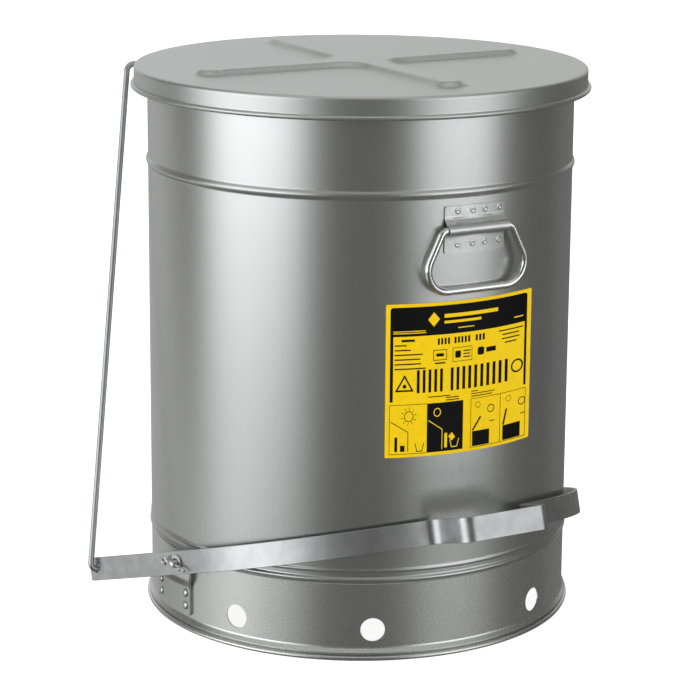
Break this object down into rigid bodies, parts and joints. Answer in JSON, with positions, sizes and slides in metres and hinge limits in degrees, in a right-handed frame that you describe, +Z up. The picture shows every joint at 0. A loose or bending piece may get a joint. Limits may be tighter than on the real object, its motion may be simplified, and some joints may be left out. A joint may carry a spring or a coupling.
{
  "type": "foot-operated oily waste can",
  "caption": "Round silver steel waste can with a flat self-closing lid, a foot lever that lifts it through a side rod, and two drop handles.",
  "frame": {"origin": "middle of the bounding box's underside, on the floor; the can's own centre line stands at X 15.0 mm, Y 20.7 mm", "axes": "+Z up, -Y the front with its pedal and label, +Y the lid hinge, -X the side with the lift rod"},
  "size_m": [0.546, 0.5578, 0.5954],
  "materials": {
    "silver_paint": "satin",
    "zinc_steel": "satin",
    "polished_wire": "polished",
    "galvanised_strap": "satin",
    "label_yellow": "satin"
  },
  "bodies": {
    "can": {"body_shell": "silver_paint", "raised_bottom": "silver_paint", "base_ring": "silver_paint", "left_pivot_bracket": "silver_paint", "right_pivot_bracket": "silver_paint", "front_handle_clip": "silver_paint", "rear_handle_clip": "silver_paint", "body_hinge_bracket": "zinc_steel", "hinge_pin": "zinc_steel", "body_hinge_rivet_left": "zinc_steel", "body_hinge_rivet_right": "zinc_steel", "left_pivot_pin": "zinc_steel", "left_cotter_pin": "zinc_steel", "left_rivet_front_low": "silver_paint", "left_rivet_front_high": "silver_paint", "left_rivet_rear_low": "silver_paint", "left_rivet_rear_high": "silver_paint", "right_pivot_pin": "zinc_steel", "right_cotter_pin": "zinc_steel", "right_rivet_front_low": "silver_paint", "right_rivet_front_high": "silver_paint", "right_rivet_rear_low": "silver_paint", "right_rivet_rear_high": "silver_paint", "label_plate": "label_yellow"},
    "lid": {"lid": "silver_paint", "lid_hinge_leaf": "zinc_steel", "lid_hinge_rivet_left": "zinc_steel", "lid_hinge_rivet_right": "zinc_steel"},
    "foot_lever": {"foot_lever": "galvanised_strap", "left_inner_washer": "zinc_steel", "left_outer_washer": "zinc_steel", "right_inner_washer": "zinc_steel", "right_outer_washer": "zinc_steel"},
    "lift_rod": {"lift_rod": "polished_wire", "rod_retainer": "zinc_steel"},
    "front_bail": {"front_bail": "polished_wire"},
    "rear_bail": {"rear_bail": "polished_wire"}
  },
  "joints": [
    {"name": "lid_hinge", "type": "hinge", "parent": "can", "child": "lid", "pos_m": [0.01498, 0.27474, 0.5704], "axis": [-1, 0, 0], "range_deg": [0, 55]},
    {"name": "foot_lever_pivot", "type": "hinge", "parent": "can", "child": "foot_lever", "pos_m": [0.01498, -0.01426, 0.07723], "axis": [1, 0, 0], "range_deg": [0, 26.2]},
    {"name": "rod_swivel", "type": "hinge", "parent": "foot_lever", "child": "lift_rod", "pos_m": [-0.27132, 0.10774, 0.03946], "axis": [-1, 0, 0], "range_deg": [0, 29.4]},
    {"name": "front_bail_pivot", "type": "hinge", "parent": "can", "child": "front_bail", "pos_m": [0.01498, -0.21266, 0.4524], "axis": [-1, 0, 0], "range_deg": [0, 150]},
    {"name": "rear_bail_pivot", "type": "hinge", "parent": "can", "child": "rear_bail", "pos_m": [0.01498, 0.25414, 0.4524], "axis": [1, 0, 0], "range_deg": [0, 150]}
  ],
  "couplings": [
    {"joint": "foot_lever_pivot", "follows": "lid_hinge", "ratio": 0.4745},
    {"joint": "rod_swivel", "follows": "lid_hinge", "ratio": 0.5323}
  ]
}
